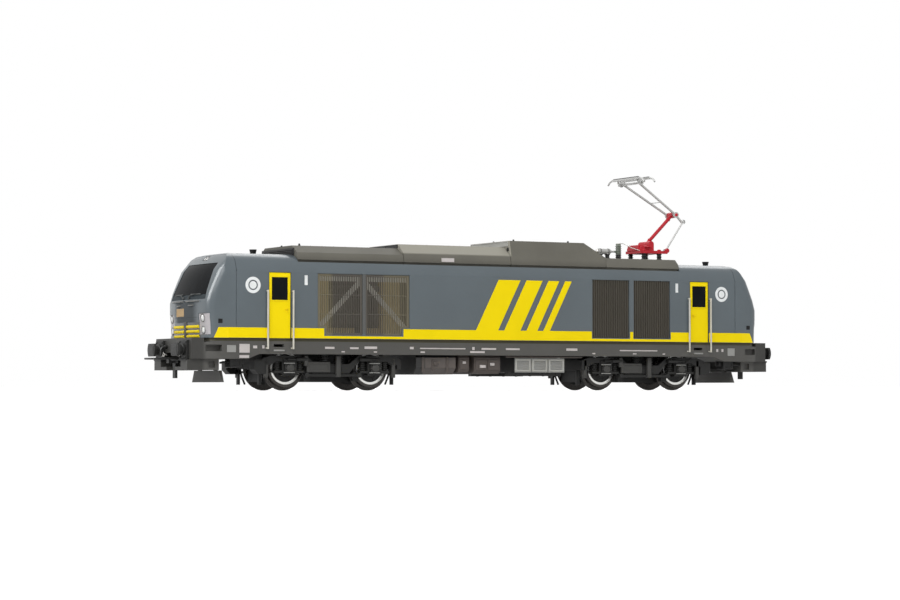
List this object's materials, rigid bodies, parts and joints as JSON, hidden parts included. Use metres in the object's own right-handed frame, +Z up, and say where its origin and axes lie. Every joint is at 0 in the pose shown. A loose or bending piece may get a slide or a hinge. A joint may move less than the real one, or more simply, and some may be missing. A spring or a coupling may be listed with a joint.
{
  "type": "scale model dual-mode locomotive",
  "caption": "Scale model of a dual-mode locomotive on two swivelling bogies, with grilled sides, roof hoods, loop couplers and a folding single-arm pantograph.",
  "frame": {"origin": "centre of the model's box at the level of the wheel flanges' lowest points", "axes": "+X along the model towards the pantograph end, +Y across it, +Z up"},
  "size_m": [0.2396, 0.0368, 0.0753],
  "materials": {
    "body_grey": "satin paint",
    "yellow": "satin print",
    "glass": "tinted clear moulding",
    "screen_black": "dark mesh",
    "truss_grey": "matte",
    "grille_black": "matte",
    "lamp_clear": "clear lens over silver",
    "rail_grey": "satin",
    "interior_grey": "matte",
    "cast_weight": "as cast",
    "roof_umber": "satin paint",
    "black_plastic": "matte",
    "insulator": "satin",
    "signal_red": "satin paint",
    "arm_grey": "satin",
    "frame_grey": "satin paint",
    "bogie_grey": "matte",
    "box_grey": "satin",
    "coupler_black": "satin",
    "wheel_steel": "turned"
  },
  "bodies": {
    "locomotive": {"body_shell": "body_grey", "cab_doors": "yellow", "door_windows": "glass", "windscreens": "glass", "engine_screens": "screen_black", "side_truss": "truss_grey", "intake_grilles": "grille_black", "livery_bands": "yellow", "headlamps": "lamp_clear", "handrails": "rail_grey", "cab_interiors": "interior_grey", "drive_block": "cast_weight", "roof_hood_exhaust": "roof_umber", "roof_hood_cooling": "roof_umber", "roof_resistor_box": "roof_umber", "pantograph_deck": "roof_umber", "antennas": "black_plastic", "roof_gear": "insulator", "pantograph_insulators": "insulator", "pantograph_base": "signal_red", "underframe": "frame_grey", "headstocks": "frame_grey", "buffers": "black_plastic", "ploughs": "bogie_grey", "brake_hoses": "black_plastic", "fuel_tank": "bogie_grey", "equipment_boxes": "bogie_grey", "battery_box": "box_grey"},
    "bogie_1": {"bogie_1_frame": "bogie_grey", "bogie_1_suspension": "bogie_grey"},
    "bogie_2": {"bogie_2_frame": "bogie_grey", "bogie_2_suspension": "bogie_grey"},
    "wheelset_1": {"wheelset_1": "wheel_steel"},
    "wheelset_2": {"wheelset_2": "wheel_steel"},
    "wheelset_3": {"wheelset_3": "wheel_steel"},
    "wheelset_4": {"wheelset_4": "wheel_steel"},
    "coupler_1": {"coupler_1": "coupler_black"},
    "coupler_2": {"coupler_2": "coupler_black"},
    "pantograph_lower_arm": {"pantograph_lower_arm": "signal_red"},
    "pantograph_tie_rod": {"pantograph_tie_rod": "arm_grey"},
    "pantograph_upper_arm": {"pantograph_upper_arm": "arm_grey"},
    "pantograph_head": {"pantograph_head": "arm_grey"}
  },
  "joints": [
    {"name": "bogie_1_swivel", "type": "hinge", "parent": "locomotive", "child": "bogie_1", "pos_m": [-0.06035, 0, 0.009], "axis": [0, 0, 1], "range_deg": [-10, 10]},
    {"name": "bogie_2_swivel", "type": "hinge", "parent": "locomotive", "child": "bogie_2", "pos_m": [0.06035, 0, 0.009], "axis": [0, 0, 1], "range_deg": [-10, 10]},
    {"name": "wheelset_1_spin", "type": "hinge", "parent": "bogie_1", "child": "wheelset_1", "pos_m": [-0.07585, 0, 0.0073], "axis": [0, 1, 0], "continuous": true},
    {"name": "wheelset_2_spin", "type": "hinge", "parent": "bogie_1", "child": "wheelset_2", "pos_m": [-0.04485, 0, 0.0073], "axis": [0, 1, 0], "continuous": true},
    {"name": "wheelset_3_spin", "type": "hinge", "parent": "bogie_2", "child": "wheelset_3", "pos_m": [0.04485, 0, 0.0073], "axis": [0, 1, 0], "continuous": true},
    {"name": "wheelset_4_spin", "type": "hinge", "parent": "bogie_2", "child": "wheelset_4", "pos_m": [0.07585, 0, 0.0073], "axis": [0, 1, 0], "continuous": true},
    {"name": "coupler_1_swing", "type": "hinge", "parent": "locomotive", "child": "coupler_1", "pos_m": [-0.102, 0, 0.0097], "axis": [0, 0, 1], "range_deg": [-12, 12], "stiffness_Nm_per_rad": 0.0005},
    {"name": "coupler_2_swing", "type": "hinge", "parent": "locomotive", "child": "coupler_2", "pos_m": [0.102, 0, 0.0097], "axis": [0, 0, 1], "range_deg": [-12, 12], "stiffness_Nm_per_rad": 0.0005},
    {"name": "pantograph_fold", "type": "hinge", "parent": "locomotive", "child": "pantograph_lower_arm", "pos_m": [0.07, 0, 0.052], "axis": [0, 1, 0], "range_deg": [0, 41], "stiffness_Nm_per_rad": 0.002, "springref_deg": -28.65},
    {"name": "pantograph_tie_rod_turn", "type": "hinge", "parent": "locomotive", "child": "pantograph_tie_rod", "pos_m": [0.07598, 0, 0.04974], "axis": [0, 1, 0], "range_deg": [-1, 46.22]},
    {"name": "pantograph_knuckle", "type": "hinge", "parent": "pantograph_lower_arm", "child": "pantograph_upper_arm", "pos_m": [0.08098, 0, 0.06279], "axis": [0, 1, 0], "range_deg": [-71, 1]},
    {"name": "pantograph_head_tilt", "type": "hinge", "parent": "pantograph_upper_arm", "child": "pantograph_head", "pos_m": [0.06385, 0, 0.0735], "axis": [0, 1, 0], "range_deg": [-1, 30]}
  ],
  "couplings": [
    {"joint": "pantograph_tie_rod_turn", "follows": "pantograph_fold", "ratio": 1.1029},
    {"joint": "pantograph_knuckle", "follows": "pantograph_fold", "ratio": -1.7073},
    {"joint": "pantograph_head_tilt", "follows": "pantograph_fold", "ratio": 0.70732}
  ]
}
